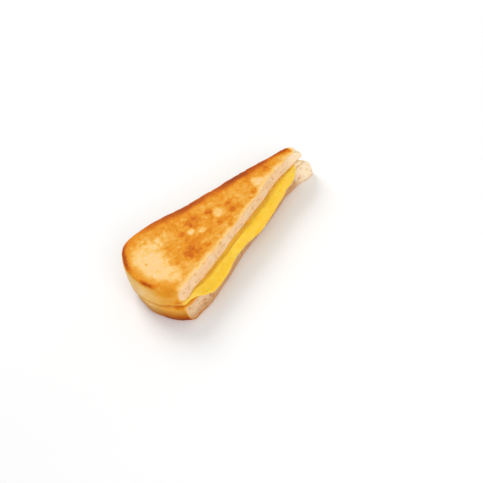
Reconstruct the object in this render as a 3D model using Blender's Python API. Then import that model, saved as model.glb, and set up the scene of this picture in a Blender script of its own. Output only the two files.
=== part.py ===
"""Half of a toasted cheese sandwich, lying on the browned face of its lower slice.

The sandwich was cut corner to corner after toasting, so the half has a long straight cut, a broad
rounded end and a narrow tip. It is three solids: a lower slice of bread, the melted cheese, which
has run out of the cut as an uneven bead, and an upper slice.

The cut runs along +X, from the broad end to the tip, and faces -Y. The origin is at the middle of
the base, and everything is in metres.
"""

import math
import random

import bmesh
import bpy
from mathutils import Matrix, Vector, noise
from mathutils.geometry import delaunay_2d_cdt

# Driving dimensions
CUT_LENGTH = 0.140
HALF_WIDTH = 0.0695
LOWER_THICKNESS = 0.0131
CHEESE_THICKNESS = 0.0050
UPPER_THICKNESS = 0.0117
SEAM_HEIGHT = LOWER_THICKNESS + CHEESE_THICKNESS
TOTAL_HEIGHT = SEAM_HEIGHT + UPPER_THICKNESS
FIT_GAP = 0.0003

# The crust from the tip round to the broad end, as shares of CUT_LENGTH and HALF_WIDTH
CRUST_SHAPE = (
    (1.000, 0.000),
    (0.997, 0.055),
    (0.965, 0.112),
    (0.885, 0.203),
    (0.690, 0.417),
    (0.450, 0.672),
    (0.245, 0.930),
    (0.150, 1.000),
    (0.085, 0.970),
    (0.005, 0.815),
    (-0.052, 0.530),
    (-0.057, 0.220),
    (-0.030, 0.060),
    (0.000, 0.000),
)
CENTRE = Vector((0.34 * CUT_LENGTH, 0.36 * HALF_WIDTH))
# Where the broad end gives way to the long side, along the cut and in from it, and the tip's start
BROAD_END = (-0.05 * CUT_LENGTH, 0.10 * CUT_LENGTH)
END_CORNER = (0.003, 0.017)
TIP_END = (0.84 * CUT_LENGTH, CUT_LENGTH)
# Distances over which the crust's rounding fades in from the cut, and the tip draws to a point
CORNER_BLEND = 0.006
TIP_BLEND = (0.004, 0.018)

# How far the cut stands out at shares of its length: the knife wandered, the lower slice stands
# proud of the upper one, and the soft tip splayed.
UPPER_CUT = (
    (0.00, -0.0012),
    (0.07, -0.0022),
    (0.15, -0.0011),
    (0.32, -0.0008),
    (0.45, 0.0003),
    (0.65, 0.0003),
    (0.76, -0.0006),
    (0.84, 0.0004),
    (0.93, 0.0010),
    (1.00, 0.0030),
)
LOWER_CUT = (
    (0.00, 0.0012),
    (0.10, 0.0036),
    (0.22, 0.0029),
    (0.43, 0.0007),
    (0.64, 0.0018),
    (0.82, 0.0010),
    (0.90, 0.0027),
    (1.00, 0.0076),
)
# Heights between which the lower slice's cut gives way to the upper one's
CUT_STEP = (0.0100, 0.0180)
# The base spreads past the top at both ends: how far, where it starts and ends, and in height
TIP_SPREAD = 0.0042
TIP_SPREAD_PLACE = (0.5 * CUT_LENGTH, CUT_LENGTH)
END_SPREAD = 0.0030
END_SPREAD_PLACE = (0.0, 0.4 * CUT_LENGTH)
END_SPREAD_INWARD = (0.35 * HALF_WIDTH, HALF_WIDTH)
END_SPREAD_HEIGHT = (0.0060, 0.0250)

# Bread edges: the rims next to the browned faces are rounder than those next to the cheese.
BROWNED_RIM = 0.0022
INNER_RIM = 0.0016
CLOSED_RIM = 0.0006
CUT_RIM = 0.0008
CRUST_BULGE = 0.0012
RIM_ANGLES = [math.radians(degrees) for degrees in (90, 60, 30, 0)]
WALL_SHARES = (0.2, 0.4, 0.6, 0.8)

# Gentle unevenness: height, distance over which it changes, and seed
SEAM_WAVE = (0.0006, 0.034, 3.1)
CHEESE_WAVE = (0.0007, 0.026, 8.7)
TOP_LUMPS = (0.0007, 0.017, 5.3)
TOP_FINE_LUMPS = (0.0005, 0.0075, 1.9)
CRUST_WAVE = (0.0006, 0.010, 6.4)
CHEESE_EDGE_WAVE = (0.0004, 0.012, 4.4)
BEAD_REACH_WAVE = (0.0004, 0.0075, 2.2)
BEAD_DROOP_WAVE = (0.0005, 0.0065, 7.5)
# The browned face dips toward the cut, where the knife pressed it down.
PRESSED_DEPTH = 0.0013
PRESSED_WIDTH = 0.0110

# Cheese: drawn in behind the crust at the broad end, nearly flush with it along the straight side
CHEESE_DRAWN_IN = 0.0005
CHEESE_DRAWN_IN_AT_END = 0.0022
CHEESE_UNDERLAP = 0.0022
# Shares of the cheese's thickness that are lost where the seam closes
THINNING_AT_CUT = 0.30
THINNING_AT_END = 0.78
THINNING_AT_TIP = 0.45
# Extra thickness at shares of the cut, where the cheese slices overlap, fading inward
CHEESE_SWELL = (
    (0.00, 0.0000),
    (0.30, 0.0000),
    (0.43, 0.0024),
    (0.54, 0.0012),
    (0.75, 0.0000),
    (0.82, 0.0010),
    (0.93, 0.0000),
)
SWELL_INWARD = (0.0040, 0.0220)
LOW_BEAD_REACH = 0.0008
BEAD_START = 0.012
BEAD_END = 0.955
BEAD_TAPER = 0.07
# The first share of the taper, over which the edge turns into a low bead
LOW_BEAD_SHARE = 0.4
# The bead at shares of the cut: how far it reaches out, and how far it droops below the seam
BEAD_REACH = (
    (0.00, 0.0016),
    (0.07, 0.0029),
    (0.14, 0.0044),
    (0.21, 0.0048),
    (0.32, 0.0043),
    (0.43, 0.0053),
    (0.54, 0.0067),
    (0.64, 0.0057),
    (0.75, 0.0050),
    (0.82, 0.0042),
    (0.90, 0.0026),
    (1.00, 0.0015),
)
BEAD_DROOP = (
    (0.00, 0.0012),
    (0.07, 0.0032),
    (0.14, 0.0052),
    (0.21, 0.0058),
    (0.32, 0.0047),
    (0.43, 0.0060),
    (0.54, 0.0078),
    (0.64, 0.0066),
    (0.75, 0.0055),
    (0.82, 0.0045),
    (0.90, 0.0022),
    (1.00, 0.0010),
)

# Sampling
CUT_SPACING = 0.0023
CRUST_SPACING = 0.0046
BROWNED_FACE_SPACING = 0.0030
HIDDEN_FACE_SPACING = 0.0100

# Low spots that stayed clear of the pan and so stayed pale: place, radius and depth
DENTS = (
    (0.0660, 0.0177, 0.0042, 0.0010),
    (0.0432, 0.0266, 0.0036, 0.0008),
    (0.0500, 0.0215, 0.0030, 0.0006),
    (0.0995, 0.0085, 0.0036, 0.0007),
    (0.0075, 0.0394, 0.0030, 0.0008),
)

# Crumb holes that the knife opened
HOLES_PER_SLICE = 15
HOLE_RADIUS = (0.0018, 0.0034)
HOLE_DEPTH = (0.0008, 0.0017)
HOLE_SPAN = (0.03, 0.93)
HOLE_EDGE = 0.0020

TOAST_COLOUR = (0.78, 0.36, 0.07, 1.0)
LOWER_TOAST_COLOUR = (0.72, 0.33, 0.07, 1.0)
CHEESE_COLOUR = (1.00, 0.55, 0.05, 1.0)


def blend(a, b, share):
    return a + (b - a) * share


def smooth_step(low, high, value):
    share = min(1.0, max(0.0, (value - low) / (high - low)))
    return share * share * (3.0 - 2.0 * share)


def along(table, share):
    """The value of a table of shares and values at a share, eased from row to row."""
    for (low, before), (high, after) in zip(table, table[1:]):
        if share <= high:
            return blend(before, after, smooth_step(low, high, share))
    return table[-1][1]


def wave(kind, x, y):
    height, distance, seed = kind
    return height * noise.noise(Vector((x / distance, y / distance, seed)))


def clear_scene():
    for obj in list(bpy.data.objects):
        bpy.data.objects.remove(obj)


# Outline


def spline(points, spacing):
    """Points at an even spacing along a smooth curve through the given ones."""
    ends = [2 * points[0] - points[1], *points, 2 * points[-1] - points[-2]]
    steps = 24
    dense = []
    for before, start, stop, after in zip(ends, ends[1:], ends[2:], ends[3:]):
        for step in range(steps):
            t = step / steps
            dense.append(
                0.5 * (2 * start + (stop - before) * t
                       + (2 * before - 5 * start + 4 * stop - after) * t ** 2
                       + (3 * start - before - 3 * stop + after) * t ** 3)
            )
    dense.append(points[-1])
    lengths = [(b - a).length for a, b in zip(dense, dense[1:])]
    count = round(sum(lengths) / spacing)
    found = []
    travelled = 0.0
    index = 0
    for n in range(count + 1):
        target = sum(lengths) * n / count
        while index < len(lengths) - 1 and travelled + lengths[index] < target:
            travelled += lengths[index]
            index += 1
        share = (target - travelled) / lengths[index]
        found.append(dense[index].lerp(dense[index + 1], min(1.0, share)))
    return found


class Stake:
    """A place on the outline: which way is out, how much it is crust, its share of the cut."""

    def __init__(self, place, outward, crust, cut_share):
        self.place = place
        self.outward = outward
        self.crust = crust
        self.cut_share = cut_share

    def point(self, out, z):
        """The point at a distance out from the outline and a height, with the base's spread."""
        x, y = self.place + self.outward * out
        x += spread(x, y, z)
        return Vector((x, y - knife_face(x, z) * (1 - self.crust), z))


def outward_at(place, before, after, tip):
    """Square to the outline, but straight out from the centre where the tip is narrow."""
    run = (after - before).normalized()
    square = Vector((run.y, -run.x))
    from_centre = (place - CENTRE).normalized()
    share = smooth_step(*TIP_BLEND, (place - tip).length)
    return from_centre.lerp(square, share).normalized()


def outline():
    """Stakes round the half, anticlockwise from the broad end of the cut."""
    corner = Vector((0.0, 0.0))
    tip = Vector((CUT_LENGTH, 0.0))
    cut_count = round(CUT_LENGTH / CUT_SPACING)
    cut = [corner.lerp(tip, n / cut_count) for n in range(1, cut_count)]
    crust = spline([Vector((x * CUT_LENGTH, y * HALF_WIDTH)) for x, y in CRUST_SHAPE], CRUST_SPACING)
    places = cut + crust
    stakes = []
    for n, place in enumerate(places):
        outward = outward_at(place, places[n - 1], places[(n + 1) % len(places)], tip)
        if n < len(cut):
            stakes.append(Stake(place, outward, 0.0, (n + 1) / cut_count))
        else:
            from_cut = min((place - corner).length, (place - tip).length)
            stakes.append(Stake(place, outward, smooth_step(0.0, CORNER_BLEND, from_cut), None))
    return stakes


def knife_face(x, z):
    """How far the cut stands out at this place and height."""
    share = x / CUT_LENGTH
    in_upper = smooth_step(*CUT_STEP, z)
    return blend(along(LOWER_CUT, share), along(UPPER_CUT, share), in_upper)


def spread(x, y, z):
    """How far this height spreads along the cut: on at the tip, and back at the broad end."""
    at_tip = smooth_step(*TIP_SPREAD_PLACE, x) * (1 - smooth_step(*CUT_STEP, z))
    at_end = (1 - smooth_step(*END_SPREAD_PLACE, x)) * (1 - smooth_step(*END_SPREAD_INWARD, y))
    return TIP_SPREAD * at_tip - END_SPREAD * at_end * (1 - smooth_step(*END_SPREAD_HEIGHT, z))


# Heights, as functions of the place in plan


def thinning(x, y):
    """The share of the cheese's thickness that the slices close up, at the two ends."""
    at_end = 1 - smooth_step(*BROAD_END, x)
    at_tip = smooth_step(*TIP_END, x)
    pinch = blend(THINNING_AT_CUT, THINNING_AT_END, smooth_step(*END_CORNER, y))
    return pinch * at_end + THINNING_AT_TIP * at_tip


def lower_seam(x, y):
    return LOWER_THICKNESS + 0.5 * CHEESE_THICKNESS * thinning(x, y) + wave(SEAM_WAVE, x, y)


def upper_seam(x, y):
    swell = along(CHEESE_SWELL, x / CUT_LENGTH) * (1 - smooth_step(*SWELL_INWARD, y))
    cheese = (CHEESE_THICKNESS + swell + wave(CHEESE_WAVE, x, y)) * (1 - thinning(x, y))
    return lower_seam(x, y) + cheese


def browned_top(x, y):
    """The upper face: low lumps and dents, and a soft dip where the knife pressed it down."""
    lumps = wave(TOP_LUMPS, x, y) + wave(TOP_FINE_LUMPS, x, y)
    pressed = PRESSED_DEPTH * (1 - smooth_step(0.0, PRESSED_WIDTH, y))
    dent = 0.0
    for dent_x, dent_y, radius, depth in DENTS:
        share = math.hypot(x - dent_x, y - dent_y) / radius
        dent += depth * (1 - smooth_step(0.2, 1.0, share))
    return TOTAL_HEIGHT + lumps - pressed - dent


def table(x, y):
    return 0.0


# Solids


def bridge(bm, ring, next_ring):
    count = len(ring)
    for n in range(count):
        after = (n + 1) % count
        bm.faces.new((ring[n], ring[after], next_ring[after], next_ring[n]))


def cover(bm, ring, height, spacing):
    """Closes a ring with even triangles that follow a height function."""
    rim = [vert.co.xy for vert in ring]
    count = len(rim)
    low = Vector((min(p.x for p in rim), min(p.y for p in rim)))
    high = Vector((max(p.x for p in rim), max(p.y for p in rim)))
    clear = 0.55 * spacing
    row_step = spacing * math.sqrt(3) / 2
    inner = []
    for row in range(int((high.y - low.y) / row_step) + 1):
        shift = 0.5 * spacing * (row % 2)
        for column in range(int((high.x - low.x) / spacing) + 1):
            point = low + Vector((shift + column * spacing, (row + 0.5) * row_step))
            if inside(point, rim) and min((point - p).length for p in rim) > clear:
                inner.append(point)
    rim_edges = [(n, (n + 1) % count) for n in range(count)]
    only_inside = 1
    points, _, faces, origins, _, _ = delaunay_2d_cdt(
        rim + inner, rim_edges, [], only_inside, 1e-7
    )
    verts = []
    for point, origin in zip(points, origins):
        if origin and origin[0] < count:
            verts.append(ring[origin[0]])
        else:
            verts.append(bm.verts.new((point.x, point.y, height(point.x, point.y))))
    for face in faces:
        bm.faces.new([verts[n] for n in face])


def inside(point, polygon):
    """Whether a point lies in a polygon, by counting the sides that a ray along +X crosses."""
    odd = False
    for a, b in zip(polygon, polygon[1:] + polygon[:1]):
        if (a.y > point.y) != (b.y > point.y):
            crossing = a.x + (point.y - a.y) / (b.y - a.y) * (b.x - a.x)
            odd ^= point.x < crossing
    return odd


def layer(name, section, upper, lower, spacings, material):
    """A closed layer: rings of its section from the upper face down, and the two faces."""
    bm = bmesh.new()
    columns = [[bm.verts.new(point) for point in section(stake)] for stake in outline()]
    rings = list(zip(*columns))
    for ring, next_ring in zip(rings, rings[1:]):
        bridge(bm, ring, next_ring)
    cover(bm, rings[0], upper, spacings[0])
    cover(bm, rings[-1], lower, spacings[1])
    bmesh.ops.recalc_face_normals(bm, faces=bm.faces)
    mesh = bpy.data.meshes.new(name)
    bm.to_mesh(mesh)
    bm.free()
    mesh.shade_smooth()
    mesh.set_sharp_from_angle(angle=math.radians(50))
    mesh.materials.append(material)
    obj = bpy.data.objects.new(name, mesh)
    sandwich.objects.link(obj)
    return obj


# Bread


def crumb_holes(seed, low, high):
    """Seeded places, sizes and depths of the holes in one slice's cut face."""
    rng = random.Random(seed)
    holes = []
    for n in range(HOLES_PER_SLICE):
        share = (n + rng.uniform(0.15, 0.85)) / HOLES_PER_SLICE
        x = CUT_LENGTH * blend(*HOLE_SPAN, share)
        z = rng.uniform(low + HOLE_EDGE, high - HOLE_EDGE)
        holes.append((x, z, rng.uniform(*HOLE_RADIUS), rng.uniform(*HOLE_DEPTH)))
    return holes


def hole_depth(holes, x, z):
    deepest = 0.0
    for hole_x, hole_z, radius, depth in holes:
        share = math.hypot(x - hole_x, z - hole_z) / radius
        if share < 1.0:
            deepest = max(deepest, depth * (1 - share * share))
    return deepest


def browned_rim(x, y):
    return BROWNED_RIM


def inner_rim(x, y):
    """The rim next to the cheese, which is crisper where the seam closes."""
    return blend(INNER_RIM, CLOSED_RIM, min(1.0, thinning(x, y) / THINNING_AT_END))


def bread_section(upper, lower, levels, upper_rim, lower_rim, holes):
    """The side of a slice, top to bottom: a rounded rim, a full or a flat wall, another rim."""
    high, low = levels

    def section(stake):
        above, below = stake.point(0.0, high).xy, stake.point(0.0, low).xy
        top, base = upper(*above), lower(*below)
        top_rim = blend(CUT_RIM, upper_rim(*above), stake.crust)
        base_rim = blend(CUT_RIM, lower_rim(*below), stake.crust)
        wall_top, wall_base = top - top_rim, base + base_rim
        profile = [(-top_rim * (1 - math.cos(a)), wall_top + top_rim * math.sin(a))
                   for a in RIM_ANGLES]
        for share in WALL_SHARES:
            bulge = CRUST_BULGE * stake.crust * math.sin(math.pi * share)
            profile.append((bulge, blend(wall_top, wall_base, share)))
        profile += [(-base_rim * (1 - math.cos(a)), wall_base - base_rim * math.sin(a))
                    for a in reversed(RIM_ANGLES)]
        return [side_point(stake, out, z, top, base) for out, z in profile]

    def side_point(stake, out, z, top, base):
        rough = stake.crust * wave(CRUST_WAVE, stake.place.x + stake.place.y, z)
        point = stake.point(out + rough, z)
        if stake.crust == 0.0:
            clear_of_rims = smooth_step(0.0, HOLE_EDGE, min(top - z, z - base))
            point.y += clear_of_rims * hole_depth(holes, point.x, z)
        return point

    return section


def lower_slice(material):
    holes = crumb_holes(11, 0.0, LOWER_THICKNESS)
    levels = (LOWER_THICKNESS, 0.0)
    section = bread_section(lower_seam, table, levels, inner_rim, browned_rim, holes)
    spacings = (HIDDEN_FACE_SPACING, HIDDEN_FACE_SPACING)
    return layer("bread_lower", section, lower_seam, table, spacings, material)


def upper_slice(material):
    holes = crumb_holes(29, SEAM_HEIGHT, TOTAL_HEIGHT)
    levels = (TOTAL_HEIGHT, SEAM_HEIGHT)
    section = bread_section(browned_top, upper_seam, levels, browned_rim, inner_rim, holes)
    spacings = (BROWNED_FACE_SPACING, HIDDEN_FACE_SPACING)
    return layer("bread_upper", section, browned_top, upper_seam, spacings, material)


# Cheese

# The bead's section, from the upper slice round to its foot: shares of its reach and its height
BEAD_SECTION = (
    (0.12, 0.00),
    (0.32, -0.05),
    (0.60, -0.05),
    (0.82, 0.06),
    (0.96, 0.25),
    (1.00, 0.46),
    (0.96, 0.66),
    (0.82, 0.84),
    (0.55, 0.96),
    (0.27, 1.00),
)
SECTION_LEVELS = len(BEAD_SECTION) + 3


def cheese_top(x, y):
    return upper_seam(x, y) - FIT_GAP


def cheese_base(x, y):
    return lower_seam(x, y) + FIT_GAP


def bead_size(share):
    """How far the bead reaches out of the cut and droops below the seam, at a share of the cut."""
    reach = along(BEAD_REACH, share) + wave(BEAD_REACH_WAVE, share * CUT_LENGTH, 0.0)
    droop = along(BEAD_DROOP, share) + wave(BEAD_DROOP_WAVE, share * CUT_LENGTH, 0.0)
    return reach, max(0.0, droop)


def cheese_heights(stake):
    above, below = stake.point(0.0, SEAM_HEIGHT).xy, stake.point(0.0, LOWER_THICKNESS).xy
    return cheese_top(*above), cheese_base(*below)


def bead_points(stake, reach, droop):
    """The cheese at the cut: from between the slices out, round, and back to the lower one."""
    top, base = cheese_heights(stake)
    height = top - base + droop
    side = [(FIT_GAP + out * reach, top - down * height) for out, down in BEAD_SECTION]
    side.append((FIT_GAP + 0.06 * reach, base - 0.8 * droop))
    side.append((FIT_GAP, base))
    side = [(-CHEESE_UNDERLAP, top), *side, (-CHEESE_UNDERLAP, base)]
    return [stake.point(out, z) for out, z in side]


def edge_points(stake):
    """The cheese along the crust: a low round edge between the two slices."""
    top, base = cheese_heights(stake)
    at_end = stake.crust * (1 - smooth_step(*BROAD_END, stake.place.x))
    drawn_in = blend(CHEESE_DRAWN_IN, CHEESE_DRAWN_IN_AT_END, at_end)
    drawn_in += wave(CHEESE_EDGE_WAVE, *stake.place)
    points = []
    for n in range(SECTION_LEVELS + 1):
        angle = math.pi * n / SECTION_LEVELS
        out = -drawn_in - CHEESE_UNDERLAP * (1 - math.sin(angle))
        z = blend(top, base, 0.5 - 0.5 * math.cos(angle))
        points.append(stake.point(out, z))
    return points


def cheese_section(stake):
    """The edge turns into a low bead first, and then the bead swells and droops."""
    edge = edge_points(stake)
    if stake.cut_share is None:
        return edge
    inset = min(stake.cut_share - BEAD_START, BEAD_END - stake.cut_share) / BEAD_TAPER
    swollen = smooth_step(LOW_BEAD_SHARE, 1.0, inset)
    reach, droop = bead_size(stake.cut_share)
    bead = bead_points(stake, blend(LOW_BEAD_REACH, reach, swollen), droop * swollen)
    formed = smooth_step(0.0, LOW_BEAD_SHARE, inset)
    return [a.lerp(b, formed) for a, b in zip(edge, bead)]


def cheese_layer(material):
    spacings = (HIDDEN_FACE_SPACING, HIDDEN_FACE_SPACING)
    return layer("cheese", cheese_section, cheese_top, cheese_base, spacings, material)


# Assembly


def food_material(name, colour, roughness):
    material = bpy.data.materials.new(name)
    material.use_nodes = True
    shader = material.node_tree.nodes["Principled BSDF"]
    shader.inputs["Base Color"].default_value = colour
    shader.inputs["Roughness"].default_value = roughness
    shader.inputs["Metallic"].default_value = 0.0
    return material


def centre_on_base(objects):
    """Moves the meshes so that the middle of their common box is over the origin."""
    points = [vert.co for obj in objects for vert in obj.data.vertices]
    middle_x = (min(p.x for p in points) + max(p.x for p in points)) / 2
    middle_y = (min(p.y for p in points) + max(p.y for p in points)) / 2
    for obj in objects:
        obj.data.transform(Matrix.Translation((-middle_x, -middle_y, 0.0)))


clear_scene()
sandwich = bpy.data.collections.new("toasted_sandwich_half")
bpy.context.scene.collection.children.link(sandwich)
centre_on_base([
    lower_slice(food_material("lower_toast", LOWER_TOAST_COLOUR, 0.75)),
    cheese_layer(food_material("cheese", CHEESE_COLOUR, 0.32)),
    upper_slice(food_material("upper_toast", TOAST_COLOUR, 0.70)),
])
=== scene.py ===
import math
import random

import bmesh
import bpy
import numpy as np
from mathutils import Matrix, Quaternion, Vector, kdtree, noise


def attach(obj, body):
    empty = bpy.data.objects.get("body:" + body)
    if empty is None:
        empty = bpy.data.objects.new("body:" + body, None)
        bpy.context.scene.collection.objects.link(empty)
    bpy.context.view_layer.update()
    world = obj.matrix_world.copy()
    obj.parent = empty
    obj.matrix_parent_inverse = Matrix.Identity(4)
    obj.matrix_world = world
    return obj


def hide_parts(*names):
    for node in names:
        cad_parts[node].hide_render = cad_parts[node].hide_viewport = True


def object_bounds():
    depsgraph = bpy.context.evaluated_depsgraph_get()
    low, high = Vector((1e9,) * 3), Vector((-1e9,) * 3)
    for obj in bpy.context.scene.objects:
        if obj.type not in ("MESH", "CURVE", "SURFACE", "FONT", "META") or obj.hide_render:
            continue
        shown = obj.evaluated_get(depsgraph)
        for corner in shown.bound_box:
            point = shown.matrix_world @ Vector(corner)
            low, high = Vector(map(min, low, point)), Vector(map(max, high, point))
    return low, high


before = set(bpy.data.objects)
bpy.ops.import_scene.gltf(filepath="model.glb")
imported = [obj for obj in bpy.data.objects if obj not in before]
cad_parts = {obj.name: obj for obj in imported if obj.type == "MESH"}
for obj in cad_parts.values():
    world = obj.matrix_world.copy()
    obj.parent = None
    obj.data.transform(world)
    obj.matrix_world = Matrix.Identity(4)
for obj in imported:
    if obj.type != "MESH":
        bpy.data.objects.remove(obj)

cad_low, cad_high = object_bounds()

# Camera
# The half is seen from over its cut face and its broad end, as a diner sees it on a table. The
# camera is turned on its axis, so the long cut runs up the picture toward the tip.

CAMERA_PLACE = (-0.2823, -0.3819, 0.4818)
CAMERA_AZIMUTH = math.radians(-38.3)
CAMERA_ELEVATION = math.radians(46.5)
CAMERA_ROLL = math.radians(-23.6)
FOCAL_LENGTH = 68.8

toward_camera = Vector((
    math.sin(CAMERA_AZIMUTH) * math.cos(CAMERA_ELEVATION),
    -math.cos(CAMERA_AZIMUTH) * math.cos(CAMERA_ELEVATION),
    math.sin(CAMERA_ELEVATION),
))
roll = Quaternion((0, 0, 1), CAMERA_ROLL)
camera = bpy.data.objects.new("camera", bpy.data.cameras.new("camera"))
bpy.context.scene.collection.objects.link(camera)
camera.data.lens = FOCAL_LENGTH
camera.location = CAMERA_PLACE
camera.rotation_mode = "QUATERNION"
camera.rotation_quaternion = (-toward_camera).to_track_quat("-Z", "Y") @ roll
bpy.context.scene.camera = camera

# Lower slice
# A thick slice of white sandwich bread, fried in butter on its underside only. The knife opened
# its pale crumb along the cut; round the rest runs the thin golden crust that the loaf was baked
# with, and it darkens to brown where it met the pan.

BREAD_VOXEL = 0.00072
LOWER_TOP = 0.0145
SEAM_MIDDLE = 0.0155
UPPER_TOP = 0.0300

# The corner where the cut meets the broad end, seen from above
CUT_CORNER = Vector((-0.0659, -0.0313))
CUT_LENGTH = 0.140
# How far the cut stands out, at shares of its length, for the upper slice and for the lower one,
# and the heights between which one goes over into the other
UPPER_CUT_SHARES = (0.0, 0.07, 0.15, 0.32, 0.45, 0.65, 0.76, 0.84, 0.93, 1.0)
UPPER_CUT = (-0.0012, -0.0022, -0.0011, -0.0008, 0.0003, 0.0003, -0.0006, 0.0004, 0.0010, 0.0030)
LOWER_CUT_SHARES = (0.0, 0.10, 0.22, 0.43, 0.64, 0.82, 0.90, 1.0)
LOWER_CUT = (0.0012, 0.0036, 0.0029, 0.0007, 0.0018, 0.0010, 0.0027, 0.0076)
CUT_STEP = (0.0100, 0.0180)

# Holes in the crumb: how many, their radius, their depth as a share of it, and the deepest
CRUMB_HOLES = 520
CRUMB_HOLE_RADIUS = (0.0004, 0.0017)
CRUMB_HOLE_DEPTH = (0.30, 0.65)
DEEPEST_HOLE = 0.0018
TORN_CRUMB = 0.00012
WRINKLES = 0.00016
BLISTERS = 0.00022

RIM_SAG = 0.0021
CORNER_LIFT = 0.0024
PAN_RIM_HEIGHT = 0.0110
BURNT_SPOT = (-0.0720, -0.0262, 0.0172)
BURNT_BROWNING = 0.62


def rise(low, high, value):
    """0 up to low, 1 from high on, and smooth between them."""
    share = np.clip((value - low) / (high - low), 0.0, 1.0)
    return share * share * (3.0 - 2.0 * share)


def fall(low, high, value):
    """1 up to low, 0 from high on, and smooth between them."""
    return 1 - rise(low, high, value)


def ease(piece, rounds):
    """Smooths a piece a little, and turns its modifiers into its own mesh."""
    easing = piece.modifiers.new("easing", "SMOOTH")
    easing.factor = 0.5
    easing.iterations = rounds
    evaluated = piece.evaluated_get(bpy.context.evaluated_depsgraph_get())
    mesh = bpy.data.meshes.new_from_object(evaluated)
    piece.modifiers.clear()
    piece.data = mesh


def evened_copy(node, name, voxel):
    """A rounded copy of a solid with an even fine mesh, so that relief can be worked into it."""
    shell = bmesh.new()
    shell.from_mesh(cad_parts[node].data)
    bmesh.ops.remove_doubles(shell, verts=shell.verts, dist=1e-6)
    shell.normal_update()
    mesh = bpy.data.meshes.new(name)
    shell.to_mesh(mesh)
    shell.free()
    piece = bpy.data.objects.new(name, mesh)
    bpy.context.scene.collection.objects.link(piece)
    rounding = piece.modifiers.new("rounding", "SUBSURF")
    rounding.levels = rounding.render_levels = 2
    evening = piece.modifiers.new("evening", "REMESH")
    evening.mode = "VOXEL"
    evening.voxel_size = voxel
    ease(piece, 2)
    return piece


def refine(piece, wanted):
    """Halves the mesh's spacing where wanted, a rule on face centres and normals, is true."""
    shell = bmesh.new()
    shell.from_mesh(piece.data)
    chosen = {
        edge for face in shell.faces if wanted(face.calc_center_median(), face.normal)
        for edge in face.edges
    }
    bmesh.ops.subdivide_edges(shell, edges=list(chosen), cuts=1, use_grid_fill=True)
    shell.to_mesh(piece.data)
    shell.free()
    ease(piece, 1)


def points_of(piece):
    found = np.empty(len(piece.data.vertices) * 3)
    piece.data.vertices.foreach_get("co", found)
    return found.reshape(-1, 3)


def normals_of(piece):
    found = np.empty(len(piece.data.vertices) * 3)
    piece.data.vertex_normals.foreach_get("vector", found)
    return found.reshape(-1, 3)


def move_points(piece, points):
    piece.data.vertices.foreach_set("co", points.ravel())
    piece.data.update()


def paint(piece, name, values):
    """Stores one number at each point, for the material to read."""
    piece.data.attributes.new(name, "FLOAT", "POINT").data.foreach_set(
        "value", np.clip(values, 0.0, 1.0).astype(np.float32)
    )


def grain(points, size, seed, octaves=3, stretch=(1, 1, 1)):
    """Smooth layered noise of about -1 to 1, with lumps of the given size."""
    fading, narrowing = 0.6, 2.1
    shift = Vector((seed * 7.31, seed * 3.17, seed * 5.73))
    scaled = points / (np.array(stretch) * size)
    return np.array([
        noise.fractal(Vector(point) + shift, fading, narrowing, octaves) for point in scaled
    ])


def knife_face(x, z):
    """Where the cut face stands: the knife wandered, and the lower slice stands proud."""
    share = (x - CUT_CORNER.x) / CUT_LENGTH
    upper = np.interp(share, UPPER_CUT_SHARES, UPPER_CUT)
    lower = np.interp(share, LOWER_CUT_SHARES, LOWER_CUT)
    return CUT_CORNER.y - lower - (upper - lower) * rise(*CUT_STEP, z)


def knife_distance(points):
    """How far each point lies behind the face of the cut."""
    return points[:, 1] - knife_face(points[:, 0], points[:, 2])


def search_tree(points):
    """The points, sorted so that the ones near a place are found fast."""
    tree = kdtree.KDTree(len(points))
    for n, point in enumerate(points):
        tree.insert(point, n)
    tree.balance()
    return tree


def scattered(rng, count, low, high, radius_range):
    """Seeded places in a box, with many small radii and few large ones."""
    small, large = radius_range
    lean_to_small = 2.2
    places = [[rng.uniform(a, b) for a, b in zip(low, high)] for _ in range(count)]
    radii = [small * (large / small) ** (rng.random() ** lean_to_small) for _ in range(count)]
    return places, radii


def hollows(points, places, radii, depths, flattening=1.0):
    """Depth of hollows at the given places, round or flattened: uneven edges, rounded floors."""
    unevenness, lumps_per_metre, farthest = 0.28, 900.0, 1.35
    tree = search_tree(points)
    depth = np.zeros(len(points))
    for place, radius, deep in zip(places, radii, depths):
        for near, n, _ in tree.find_range(place, radius * farthest):
            away = (near - Vector(place)) / radius
            away.z *= flattening
            share = away.length / (1.0 + unevenness * noise.noise(near * lumps_per_metre))
            if share < 1.0:
                depth[n] = max(depth[n], deep * (1.0 - share ** 3))
    return depth


def open_crumb(piece, seed, low_z, high_z):
    """Works holes and torn crumb into the cut. Returns where it is, and how deep each point lies as a
    share of the deepest hole, which is painted as shade in the holes.
    """
    points, normals = points_of(piece), normals_of(piece)
    on_cut = rise(0.35, 0.75, -normals[:, 1]) * fall(0.0016, 0.0034, knife_distance(points))
    rng = random.Random(seed)
    low = (cad_low.x, 0.0, low_z)
    high = (cad_high.x, 0.0, high_z)
    places, radii = scattered(rng, CRUMB_HOLES, low, high, CRUMB_HOLE_RADIUS)
    for place in places:
        place[1] = knife_face(place[0], place[2])
    depths = [radius * rng.uniform(*CRUMB_HOLE_DEPTH) for radius in radii]
    hollow_and_painted_shade = hollows(points, places, radii, depths, 1.5) * on_cut
    torn = TORN_CRUMB * grain(points, 0.0012, seed + 0.4, 4, (1.3, 1.0, 0.8))
    moved = (torn - 0.00010) * on_cut - hollow_and_painted_shade
    move_points(piece, points + normals * moved[:, None])
    return on_cut, hollow_and_painted_shade / DEEPEST_HOLE


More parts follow.
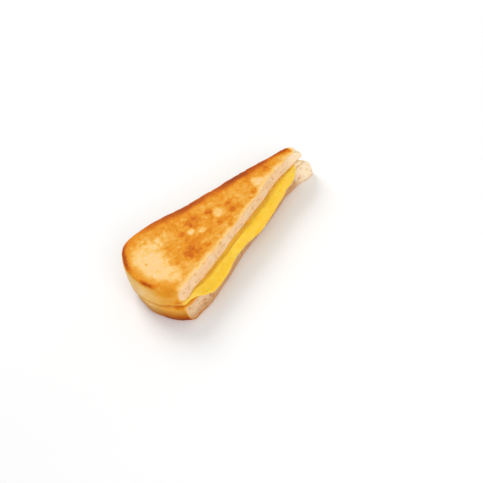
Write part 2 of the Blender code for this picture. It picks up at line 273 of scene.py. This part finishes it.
def rub_crust(piece, on_cut, seed):
    """Works wrinkles that run round the loaf and shallow blisters into the crust's side."""
    points, normals = points_of(piece), normals_of(piece)
    on_side = rise(0.35, 0.8, np.hypot(normals[:, 0], normals[:, 1])) * (1 - on_cut)
    wrinkles = WRINKLES * grain(points, 0.0022, seed + 0.7, 3, (2.2, 2.2, 0.55))
    blisters = BLISTERS * grain(points, 0.0052, seed + 0.2, 2)
    moved = (wrinkles + blisters - 0.0002) * on_side
    move_points(piece, points + normals * moved[:, None])
    return on_side


def at_broad_end(points):
    """1 at the broad rounded end, fading out along the crust."""
    return fall(-0.056, -0.040, points[:, 0])


def fill_seam(piece, on_cut):
    """Lets the soft rim sag to the seam at the broad end, so that hardly a groove shows there."""
    points, normals = points_of(piece), normals_of(piece)
    level = np.hypot(normals[:, 0], normals[:, 1])
    near_seam = fall(0.0008, 0.0052, np.abs(points[:, 2] - SEAM_MIDDLE))
    pushed = RIM_SAG * near_seam * rise(0.15, 0.6, level) * at_broad_end(points) * (1 - on_cut)
    outward = normals[:, :2] / np.maximum(level, 0.05)[:, None]
    points[:, :2] += outward * pushed[:, None]
    move_points(piece, points)


def raise_corner(piece):
    """Lifts the seam a little at the broad corner, where the lower slice is thickest."""
    points = points_of(piece)
    x, y, z = points.T
    corner = fall(-0.066, -0.040, x) * fall(-0.026, 0.000, y)
    share = np.minimum(z / SEAM_MIDDLE, (UPPER_TOP - z) / (UPPER_TOP - SEAM_MIDDLE))
    z += CORNER_LIFT * corner * np.clip(share, 0.0, 1.0)
    move_points(piece, points)


def crumb_colour(points, seed):
    """Browning of the bare crumb: nearly none, in soft clouds, and palest at the thin tip."""
    clouds = 0.07 + 0.035 * grain(points, 0.008, seed, 3)
    return clouds * (1 - 0.9 * rise(0.052, 0.068, points[:, 0]))


def side_browning(points, face_height, rim, rim_height, seed):
    """Crust colour by the height from the browned face: a dark rim that fades to gold."""
    x, y, z = points.T
    uneven = 0.0009 * grain(points, 0.009, seed, 2)
    from_pan = np.abs(z - face_height) + uneven
    dark_rim = rim * fall(0.15 * rim_height, rim_height, from_pan)
    dark_rim += 0.08 * fall(0.0020, 0.0085, from_pan)
    dark_rim *= 1 - 0.4 * rise(-0.050, -0.020, x)
    gold = 0.43 + 0.09 * grain(points, 0.016, seed + 3, 3)
    paler_at_back = 0.28 * rise(-0.020, 0.010, y)
    bare_tip = rise(0.052, 0.072, x + 3.0 * uneven)
    return (gold + dark_rim - paler_at_back) * (1 - bare_tip) + 0.04 * bare_tip


def burnt_cheese(points):
    """The brown blot where cheese ran out at the broad corner and met the pan."""
    away = np.linalg.norm(points - BURNT_SPOT, axis=1) + 0.0008 * grain(points, 0.002, 27, 2)
    return fall(0.0016, 0.0056, away)


def brown_to(level, browning, mask):
    """Browns on up to a level where the mask is 1. What is darker already stays as it is."""
    return browning + mask * np.maximum(level - browning, 0)


def scene_colour(red, green, blue):
    """A colour read as 0 to 255 on a screen, as the linear light that a shader works in."""
    return tuple(
        (c / 12.92 if c <= 0.04045 else ((c + 0.055) / 1.055) ** 2.4)
        for c in (red / 255, green / 255, blue / 255)
    ) + (1.0,)


def add_node(tree, kind, **settings):
    node = tree.nodes.new(kind)
    for name, value in settings.items():
        setattr(node, name, value)
    return node


def set_inputs(node, **values):
    """Sets a node's sockets, which are named with an underline for each space."""
    for name, value in values.items():
        node.inputs[name.replace("_", " ")].default_value = value
    return node


def colour_ramp(tree, colours):
    """A ramp through the given places and colours."""
    node = tree.nodes.new("ShaderNodeValToRGB")
    elements = node.color_ramp.elements
    elements[0].position, elements[0].color = colours[0]
    elements[1].position, elements[1].color = colours[-1]
    for position, colour in colours[1:-1]:
        elements.new(position).color = colour
    return node


def connect(tree, *links):
    """Joins nodes. Each link is a node and its output, then the next node and its input."""
    for source, output, target, socket in links:
        tree.links.new(source.outputs[output], target.inputs[socket])


BROWNING_COLOURS = (
    (0.00, scene_colour(250, 228, 194)),
    (0.08, scene_colour(246, 208, 162)),
    (0.20, scene_colour(249, 203, 128)),
    (0.34, scene_colour(240, 182, 88)),
    (0.50, scene_colour(231, 153, 40)),
    (0.64, scene_colour(217, 120, 16)),
    (0.78, scene_colour(176, 78, 12)),
    (0.92, scene_colour(116, 46, 12)),
    (1.00, scene_colour(76, 32, 14)),
)
# The tint that painted shade darkens the bread with
PAINTED_SHADE_TINT = scene_colour(205, 181, 160)
FRECKLES = 0.12

# How browned each place is, with fine freckles, turned into the colour of toast. Painted shade is
# multiplied in as a darker tint wherever it is painted. The more it is browned, the more it shines.
toasting = bpy.data.node_groups.new("toasting", "ShaderNodeTree")
for socket_name, side, socket_kind in (
    ("Browning", "INPUT", "NodeSocketFloat"),
    ("Painted_shade", "INPUT", "NodeSocketFloat"),
    ("Freckles", "INPUT", "NodeSocketFloat"),
    ("Colour", "OUTPUT", "NodeSocketColor"),
    ("Roughness", "OUTPUT", "NodeSocketFloat"),
    ("Height", "OUTPUT", "NodeSocketFloat"),
):
    toasting.interface.new_socket(socket_name, in_out=side, socket_type=socket_kind)
group_in = toasting.nodes.new("NodeGroupInput")
group_out = toasting.nodes.new("NodeGroupOutput")
where = toasting.nodes.new("ShaderNodeTexCoord")
coarse = set_inputs(add_node(toasting, "ShaderNodeTexNoise"), Scale=620.0, Detail=3.0, Roughness=0.6)
fine = set_inputs(add_node(toasting, "ShaderNodeTexNoise"), Scale=2100.0, Detail=3.0, Roughness=0.65)
both = add_node(toasting, "ShaderNodeMath", operation="ADD")
centred = add_node(toasting, "ShaderNodeMath", operation="SUBTRACT")
centred.inputs[1].default_value = 1.0
freckled = add_node(toasting, "ShaderNodeMath", operation="MULTIPLY_ADD")
browned = colour_ramp(toasting, BROWNING_COLOURS)
painted_shade_mix = add_node(toasting, "ShaderNodeMix", data_type="RGBA", blend_type="MULTIPLY")
painted_shade_mix.inputs["B"].default_value = PAINTED_SHADE_TINT
sheen = add_node(toasting, "ShaderNodeMapRange")
set_inputs(sheen, From_Min=0.15, From_Max=0.9, To_Min=0.85, To_Max=0.46)
connect(
    toasting,
    (where, "Object", coarse, "Vector"),
    (where, "Object", fine, "Vector"),
    (coarse, "Fac", both, 0),
    (fine, "Fac", both, 1),
    (both, 0, centred, 0),
    (centred, 0, freckled, 0),
    (group_in, "Freckles", freckled, 1),
    (group_in, "Browning", freckled, 2),
    (freckled, 0, browned, "Fac"),
    (browned, "Color", painted_shade_mix, "A"),
    (group_in, "Painted_shade", painted_shade_mix, "Factor"),
    (painted_shade_mix, "Result", group_out, "Colour"),
    (freckled, 0, sheen, "Value"),
    (sheen, "Result", group_out, "Roughness"),
    (both, 0, group_out, "Height"),
)


def toasted_bread(name):
    """Toasted bread: the painted browning and painted shade through the toasting group, with a soft
    translucency.
    """
    material = bpy.data.materials.new(name)
    material.use_nodes = True
    tree = material.node_tree
    shader = set_inputs(
        tree.nodes["Principled BSDF"],
        Subsurface_Weight=0.22,
        Subsurface_Radius=(1.0, 0.55, 0.28),
        Subsurface_Scale=0.0022,
        Specular_IOR_Level=0.07,
    )
    group = add_node(tree, "ShaderNodeGroup", node_tree=toasting)
    set_inputs(group, Freckles=FRECKLES)
    browning = add_node(tree, "ShaderNodeAttribute", attribute_name="browning")
    hollow_and_painted_shade = add_node(tree, "ShaderNodeAttribute", attribute_name="hollow_and_painted_shade")
    bump = set_inputs(add_node(tree, "ShaderNodeBump"), Strength=0.5, Distance=0.00012)
    connect(
        tree,
        (browning, "Fac", group, "Browning"),
        (hollow_and_painted_shade, "Fac", group, "Painted_shade"),
        (group, "Colour", shader, "Base Color"),
        (group, "Roughness", shader, "Roughness"),
        (group, "Height", bump, "Height"),
        (bump, "Normal", shader, "Normal"),
    )
    return material


def opened_by_the_knife(centre, normal):
    """The cut face of the lower slice, and its top where that lies close behind the cut."""
    behind = centre.y - knife_face(centre.x, centre.z)
    return normal.z > -0.5 and centre.z < LOWER_TOP and behind < 0.002


lower_slice = evened_copy("bread_lower", "toast_lower", BREAD_VOXEL)
refine(lower_slice, opened_by_the_knife)
on_cut, hollow_and_painted_shade = open_crumb(lower_slice, 5, 0.0, LOWER_TOP)
on_side = rub_crust(lower_slice, on_cut, 9)
fill_seam(lower_slice, on_cut)
raise_corner(lower_slice)

points, normals = points_of(lower_slice), normals_of(lower_slice)
x, y, z = points.T
broad_end = at_broad_end(points)
crust = side_browning(points, 0.0, 0.40 - 0.15 * broad_end, PAN_RIM_HEIGHT, 14)
edge_height = 0.0011 + 0.0026 * fall(-0.064, -0.052, x)
fried_edge = 0.5 * fall(0.0003, edge_height, z + 0.0002 * grain(points, 0.002, 4))
crumb = crumb_colour(points, 15) - 0.02 + fried_edge
underside = rise(0.4, 0.9, -normals[:, 2])
pan_mark = 0.52 + 0.16 * grain(points, 0.011, 2, 4) + 0.10 * grain(points, 0.003, 6, 3)
browning = crust * (1 - on_cut) + crumb * on_cut
browning = browning * (1 - underside) + pan_mark * underside
paint(lower_slice, "browning", brown_to(BURNT_BROWNING, browning, burnt_cheese(points)))

# Painted shade: the tint darkens the cut crumb, most at its foot, and the crust at the foot and low on
# the broad end
at_foot = fall(0.002, PAN_RIM_HEIGHT, z)
crumb_painted_shade = (0.50 + 0.50 * at_foot) * fall(0.058, 0.070, x)
crust_painted_shade = np.maximum(0.8 * at_foot, broad_end * fall(0.007, 0.0160, z))
paint(lower_slice, "hollow_and_painted_shade", hollow_and_painted_shade + np.maximum(on_cut * crumb_painted_shade, on_side * crust_painted_shade))

lower_slice.data.materials.append(toasted_bread("toasted_bread_lower"))
lower_slice.data.shade_smooth()
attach(lower_slice, "root")
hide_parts("bread_lower")

# Cheese
# Slices of mild yellow cheese that melted between the breads. The knife and the weight of the
# bread squeezed it out along the cut, where it set as a glossy bead that sags over the lower
# slice; along the crust only its rounded edge shows.

CHEESE_VOXEL = 0.00046
FOLDS = 0.00034
FINE_FOLDS = 0.00010
BUBBLES = 34
BUBBLE_RADIUS = (0.0004, 0.0010)
# How far the bead hangs back in its middle, the edge spreads at the seam and the lip lifts
BEAD_SLACK = 0.0009
SEAM_SPREAD = 0.0025
LIP_LIFT = 0.0022
# The place that the edge spreads away from, seen from above
BROAD_MIDDLE = (-0.040, 0.002)

YELLOWS = ((0.34, scene_colour(255, 197, 38)), (0.68, scene_colour(255, 209, 70)))
# Tints painted over the yellow: painted light in the shade near the bread, a toasted edge and soaked tip
PAINTED_CHEESE = (
    ("painted_light_near_bread", scene_colour(255, 208, 80)),
    ("toasted", scene_colour(232, 162, 62)),
    ("soaked", scene_colour(246, 216, 178)),
)


def hump(value, middle, width):
    """1 at the middle, fading out on both sides over the width."""
    return np.exp(-((value - middle) / width) ** 2)


cheese = evened_copy("cheese", "melted_cheese", CHEESE_VOXEL)
points, normals = points_of(cheese), normals_of(cheese)
x, y, z = points.T
from_cut = knife_distance(points)
outside = fall(0.0, 0.003, from_cut)
at_seam = at_broad_end(points) * rise(0.0, 0.004, from_cut)
folds = FOLDS * grain(points, 0.0052, 21, 2, (1.5, 1.0, 0.7)) + FINE_FOLDS * grain(points, 0.0016, 23, 2)
rng = random.Random(31)
bead_low = (cad_low.x, cad_low.y, 0.008)
bead_high = (0.06, CUT_CORNER.y, 0.018)
places, radii = scattered(rng, BUBBLES, bead_low, bead_high, BUBBLE_RADIUS)
cheese_surface = search_tree(points)
bubble_places = [cheese_surface.find(place)[0] for place in places]
bubbles = hollows(points, bubble_places, radii, [0.35 * radius for radius in radii])
slack = BEAD_SLACK * outside * hump(x, -0.013, 0.018)
moved = (folds - 0.00025) * (0.25 + 0.75 * outside) - bubbles * outside - slack
from_middle = points[:, :2] - BROAD_MIDDLE
reach = np.hypot(from_middle[:, 0], from_middle[:, 1])
spread = SEAM_SPREAD * at_seam * rise(0.010, 0.028, reach)
points += normals * moved[:, None]
points[:, :2] += from_middle * (spread / np.maximum(reach, 0.001))[:, None]
under_lip = fall(0.0105, 0.0160, z)
points[:, 2] += LIP_LIFT * outside * under_lip * hump(x, -0.0565, 0.0085)
move_points(cheese, points)
raise_corner(cheese)

# Painted light: cheese close to the bread, shaded by the upper slice, is tinted a lighter yellow
paint(cheese, "painted_light_near_bread", 0.8 * fall(0.0005, 0.0040, -knife_distance(points)))
paint(cheese, "toasted", np.maximum(0.55 * at_seam, burnt_cheese(points)))
paint(cheese, "soaked", rise(0.0655, 0.0685, x + 0.0012 * grain(points, 0.003, 25, 2)))

yellow_cheese = bpy.data.materials.new("melted_yellow_cheese")
yellow_cheese.use_nodes = True
tree = yellow_cheese.node_tree
shader = set_inputs(
    tree.nodes["Principled BSDF"],
    Subsurface_Weight=0.5,
    Subsurface_Radius=(1.0, 0.62, 0.12),
    Subsurface_Scale=0.004,
    Specular_IOR_Level=0.25,
    Coat_Weight=0.15,
    Coat_Roughness=0.18,
)
where = tree.nodes.new("ShaderNodeTexCoord")
clouds = set_inputs(add_node(tree, "ShaderNodeTexNoise"), Scale=170.0, Detail=3.0, Roughness=0.5)
speckle = set_inputs(add_node(tree, "ShaderNodeTexNoise"), Scale=1300.0, Detail=2.0, Roughness=0.5)
yellow = colour_ramp(tree, YELLOWS)
oily = set_inputs(add_node(tree, "ShaderNodeMapRange"), To_Min=0.24, To_Max=0.42)
bump = set_inputs(add_node(tree, "ShaderNodeBump"), Strength=0.25, Distance=0.0001)
last_colour, last_output = yellow, "Color"
for mask, tint in PAINTED_CHEESE:
    amount = add_node(tree, "ShaderNodeAttribute", attribute_name=mask)
    mixed = add_node(tree, "ShaderNodeMix", data_type="RGBA")
    mixed.inputs["B"].default_value = tint
    connect(tree, (amount, "Fac", mixed, "Factor"), (last_colour, last_output, mixed, "A"))
    last_colour, last_output = mixed, "Result"
connect(
    tree,
    (where, "Object", clouds, "Vector"),
    (where, "Object", speckle, "Vector"),
    (clouds, "Fac", yellow, "Fac"),
    (last_colour, last_output, shader, "Base Color"),
    (speckle, "Fac", oily, "Value"),
    (oily, "Result", shader, "Roughness"),
    (speckle, "Fac", bump, "Height"),
    (bump, "Normal", shader, "Normal"),
)
cheese.data.materials.append(yellow_cheese)
cheese.data.shade_smooth()
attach(cheese, "root")
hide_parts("cheese")

# Upper slice
# The matching slice, turned over from the pan, so its fried face is up: mottled gold and orange
# with a dark rim, pitted where bubbles in the crumb stayed clear of the butter, and paler along
# the cut, where the knife pressed it down.

UPPER_BOTTOM = 0.0165
UPPER_CRUMB_TOP = 0.0305
FACE_HEIGHT = 0.0296
PITS = 700
PIT_RADIUS = (0.0004, 0.0016)
PIT_HEIGHT = 0.029

# The shoulder of the broad end that leans in, and which way
SHOULDER = (-0.0720, -0.0210)
SHOULDER_WIDTH = 0.0085
SHOULDER_LEAN = 0.0032
INWARD = (0.8, 0.6)
# The tip leans out at its bottom and is worn at its top; its far edge lies further along and in
TIP_LEAN = 0.0036
TIP_WEAR = 0.0034
FAR_EDGE_ALONG = 0.0015
FAR_EDGE_IN = 0.0010

# Patches of the fried face, from the broad end of the cut: along it, in from it, radius, browning
FRIED_PATCHES = (
    (0.0053, 0.0125, 0.0065, -0.18),
    (0.0110, 0.0440, 0.0200, -0.32),
    (0.0060, 0.0290, 0.0160, -0.24),
    (0.0060, 0.0170, 0.0120, -0.18),
    (0.0183, 0.0192, 0.0050, 0.08),
    (0.0278, 0.0443, 0.0040, -0.16),
    (0.0300, 0.0430, 0.0100, -0.10),
    (0.0305, 0.0150, 0.0110, 0.13),
    (0.0323, 0.0166, 0.0030, 0.10),
    (0.0380, 0.0205, 0.0080, 0.10),
    (0.0392, 0.0084, 0.0040, 0.10),
    (0.0392, 0.0316, 0.0042, 0.16),
    (0.0436, 0.0260, 0.0040, -0.32),
    (0.0470, 0.0500, 0.0060, 0.07),
    (0.0483, 0.0191, 0.0038, -0.24),
    (0.0510, 0.0300, 0.0085, 0.13),
    (0.0516, 0.0392, 0.0040, -0.06),
    (0.0530, 0.0255, 0.0050, 0.08),
    (0.0540, 0.0335, 0.0060, 0.07),
    (0.0599, 0.0119, 0.0038, 0.14),
    (0.0603, 0.0030, 0.0032, 0.16),
    (0.0639, 0.0256, 0.0040, 0.15),
    (0.0640, 0.0065, 0.0045, 0.11),
    (0.0664, 0.0182, 0.0057, -0.26),
    (0.0721, 0.0091, 0.0036, 0.15),
    (0.0752, 0.0163, 0.0034, 0.13),
    (0.0770, 0.0060, 0.0045, 0.09),
    (0.0890, 0.0250, 0.0060, 0.08),
    (0.0930, 0.0050, 0.0040, 0.12),
    (0.1010, 0.0075, 0.0058, -0.30),
    (0.1124, 0.0060, 0.0050, 0.08),
    (0.1190, 0.0095, 0.0060, 0.08),
    (0.1275, 0.0045, 0.0045, -0.12),
)
BURST_BUBBLE = (0.0074, 0.0399)
BURST_RADIUS = 0.0012
BENDING_SEED = 7
# Browning of the dark rim from the broad end to the tip, and the two places where it is scorched
RIM_PLACES = (-0.055, -0.045, -0.030, -0.015, 0.000, 0.015, 0.030, 0.045, 0.070)
RIM_BROWNING = (0.53, 0.56, 0.70, 0.78, 0.78, 0.72, 0.84, 0.77, 0.77)
FAR_SCORCH = (-0.0607, 0.0290)
NEAR_SCORCH = (-0.0718, -0.0022)
# Width of the pale edge along the cut
PALE_EDGE_PLACES = (-0.066, -0.052, -0.038, -0.017, 0.004, 0.021, 0.039, 0.053, 0.074)
PALE_EDGE_WIDTH = (0.0080, 0.0060, 0.0056, 0.0046, 0.0034, 0.0032, 0.0078, 0.0056, 0.0040)


def from_place(points, place):
    """Distance of each point from a place, seen from above."""
    return np.hypot(points[:, 0] - place[0], points[:, 1] - place[1])


def from_spot(points, along, inward):
    """Distance of each point from a spot along the cut and in from it, seen from above."""
    return from_place(points, (CUT_CORNER.x + along, CUT_CORNER.y + inward))


def distance_in_plan(points, edge_points):
    """Distance of each point from the nearest edge point, seen from above."""
    flat = (1.0, 1.0, 0.0)
    tree = search_tree(edge_points * flat)
    return np.array([tree.find(point)[2] for point in points * flat])


def lace(points, size, seed):
    """Thin bent lines round cells of the given size: 1 on the lines and 0 inside the cells."""
    # Unseeded, the noise that bends the lines starts from the clock
    noise.seed_set(BENDING_SEED)
    shift = Vector((seed * 3.7, seed * 1.9, seed * 4.3))
    lines = np.empty(len(points))
    for n, point in enumerate(points / size):
        place = Vector(point) + shift
        nearest = noise.voronoi(place + 0.45 * noise.noise_vector(1.3 * place))[0]
        lines[n] = nearest[1] - nearest[0]
    return fall(0.0, 0.40, lines)


def fried_or_cut(centre, normal):
    """The fried face and the cut face of the upper slice."""
    return normal.z > 0.35 or centre.y < CUT_CORNER.y + 0.002


upper_slice = evened_copy("bread_upper", "toast_upper", BREAD_VOXEL)
refine(upper_slice, fried_or_cut)
on_cut, hollow_and_painted_shade = open_crumb(upper_slice, 8, UPPER_BOTTOM, UPPER_CRUMB_TOP)
rub_crust(upper_slice, on_cut, 17)
fill_seam(upper_slice, on_cut)
raise_corner(upper_slice)

points, normals = points_of(upper_slice), normals_of(upper_slice)
x, y, z = points.T
shoulder = hump(from_place(points, SHOULDER), 0.0, SHOULDER_WIDTH) * rise(UPPER_BOTTOM, 0.0285, z)
points[:, :2] += SHOULDER_LEAN * shoulder[:, None] * INWARD
near_tip = rise(0.060, 0.072, x)
far_part = rise(-0.0340, -0.0285, y)
lean_out = TIP_LEAN * fall(0.0185, 0.0245, z) + FAR_EDGE_ALONG * far_part
worn_off = TIP_WEAR * rise(0.0225, 0.0285, z) * (1 - far_part)
points[:, 0] += near_tip * (lean_out - worn_off)
points[:, 1] -= FAR_EDGE_IN * rise(0.046, 0.062, x) * far_part

on_top = rise(0.35, 0.8, normals[:, 2]) * rise(0.022, 0.025, z)
rng = random.Random(77)
pits_low = (cad_low.x, cad_low.y, PIT_HEIGHT)
pits_high = (cad_high.x, cad_high.y, PIT_HEIGHT)
places, radii = scattered(rng, PITS, pits_low, pits_high, PIT_RADIUS)
flattened = points.copy()
flattened[:, 2] = PIT_HEIGHT
pits = hollows(flattened, places, radii, [0.28 * radius for radius in radii]) * on_top
crisp = 0.00016 * grain(points, 0.0019, 41, 4) + 0.00012 * grain(points, 0.0048, 43, 2)
moved = (crisp - 0.0001) * on_top - pits
move_points(upper_slice, points + normals * moved[:, None])

# The mottled gold of the fried face, and the lace that the butter left round its bubbles
fried = 0.475 + 0.12 * grain(points, 0.0115, 51, 3) + 0.05 * grain(points, 0.0030, 53, 3)
fried += 0.08 * lace(flattened, 0.0048, 65) - 0.03
ragged = 1 + 0.28 * grain(points, 0.0038, 55, 2)
for along, inward, radius, change in FRIED_PATCHES:
    fried += change * fall(0.35, 1.0, from_spot(points, along, inward) / (radius * ragged))
fried = np.maximum(fried, 0.165 + 0.03 * grain(points, 0.0035, 59, 2))
fried += 0.34 * fall(0.4, 1.0, from_spot(points, *BURST_BUBBLE) / BURST_RADIUS)

# An orange band and a dark rim follow the crust. The rim is widest along the long far side
from_cut = knife_distance(points)
crust_points = points[(np.abs(normals[:, 2]) < 0.3) & (on_cut < 0.1) & (from_cut > 0.0015)]
from_crust = distance_in_plan(points, crust_points)
uneven = 0.0009 * grain(points, 0.0075, 57, 3)
far_side = np.maximum(rise(0.004, 0.022, y), rise(-0.052, -0.036, x))
orange_band = 0.85 * fall(0.0030, 0.0105, from_crust + uneven)
fried = brown_to(0.51 + 0.05 * far_side, fried, orange_band)
rim_width = 0.0040 + 0.0014 * far_side + 0.0040 * rise(-0.044, -0.028, x) - 0.0036 * rise(0.036, 0.062, x)
rim_level = np.interp(x, RIM_PLACES, RIM_BROWNING)
rim_level += 0.26 * fall(0.006, 0.020, from_place(points, FAR_SCORCH))
rim_level += 0.26 * fall(0.002, 0.010, from_place(points, NEAR_SCORCH))
fried = brown_to(rim_level, fried, fall(0.35 * rim_width, rim_width, from_crust + 0.6 * uneven))

# The pressed edge along the cut, the worn tip and the floors of the pits are paler
broad_corner = fall(0.004, 0.012, x - CUT_CORNER.x)
pale_width = np.interp(x, PALE_EDGE_PLACES, PALE_EDGE_WIDTH)
pressed_edge = fall(0.0004, pale_width, from_cut + 1.4 * uneven)
fried *= 1 - (0.66 + 0.20 * broad_corner) * pressed_edge
fried *= fall(0.0690, 0.0725, x + 0.3 * (CUT_CORNER.y - y))
fried -= 0.10 * np.clip(pits / 0.0003, 0, 1)

top_line = 0.22 * rise(0.0280, 0.0290, z)
buttered = 0.16 * fall(UPPER_BOTTOM, 0.0215, z) * (1 - near_tip)
crumb = crumb_colour(points, 63) + top_line + buttered
crust = side_browning(points, FACE_HEIGHT, 0.24 * rise(-0.014, -0.003, y), 0.0032, 61)
browning = crust * (1 - on_cut) + crumb * on_cut
browning = browning * (1 - on_top) + fried * on_top
paint(upper_slice, "browning", brown_to(BURNT_BROWNING, browning, burnt_cheese(points)))
# Painted shade: the holes, and the whole cut crumb of the upper slice except at the tip
paint(upper_slice, "hollow_and_painted_shade", hollow_and_painted_shade + 0.22 * on_cut * (1 - near_tip))

upper_slice.data.materials.append(toasted_bread("toasted_bread_upper"))
upper_slice.data.shade_smooth()
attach(upper_slice, "root")
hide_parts("bread_upper")

# Table and light
# A plain white table top, large enough that its edges stay out of the camera's view, under the
# soft light of a studio: a broad lamp above and behind the half, a wider one in front of it, and
# an even white surround.

TABLE_SIZE = 6.0
TABLE_WHITE = (0.94, 0.94, 0.94, 1.0)
SURROUND_LIGHT = 0.56

table = bpy.data.objects.new("table_top", bpy.data.meshes.new("table_top"))
surface = bmesh.new()
bmesh.ops.create_grid(surface, x_segments=1, y_segments=1, size=TABLE_SIZE / 2)
surface.to_mesh(table.data)
surface.free()
bpy.context.scene.collection.objects.link(table)
white_table = bpy.data.materials.new("white_table")
white_table.use_nodes = True
set_inputs(white_table.node_tree.nodes["Principled BSDF"], Base_Color=TABLE_WHITE, Roughness=0.9)
table.data.materials.append(white_table)


def area_lamp(name, place, size, power):
    """A square lamp that faces the half."""
    lamp = bpy.data.objects.new(name, bpy.data.lights.new(name, "AREA"))
    lamp.data.size = size
    lamp.data.energy = power
    lamp.location = place
    lamp.rotation_mode = "QUATERNION"
    lamp.rotation_quaternion = (-Vector(place)).to_track_quat("-Z", "Y")
    bpy.context.scene.collection.objects.link(lamp)


area_lamp("overhead_lamp", (0.42, 0.72, 0.80), 0.55, 6.6)
area_lamp("front_lamp", (-0.38, -0.92, 0.65), 0.80, 6.0)
surround = bpy.data.worlds.new("white_surround")
surround.use_nodes = True
set_inputs(surround.node_tree.nodes["Background"], Color=(1.0, 1.0, 1.0, 1.0), Strength=SURROUND_LIGHT)
bpy.context.scene.world = surround
bpy.context.scene.view_settings.view_transform = "Standard"
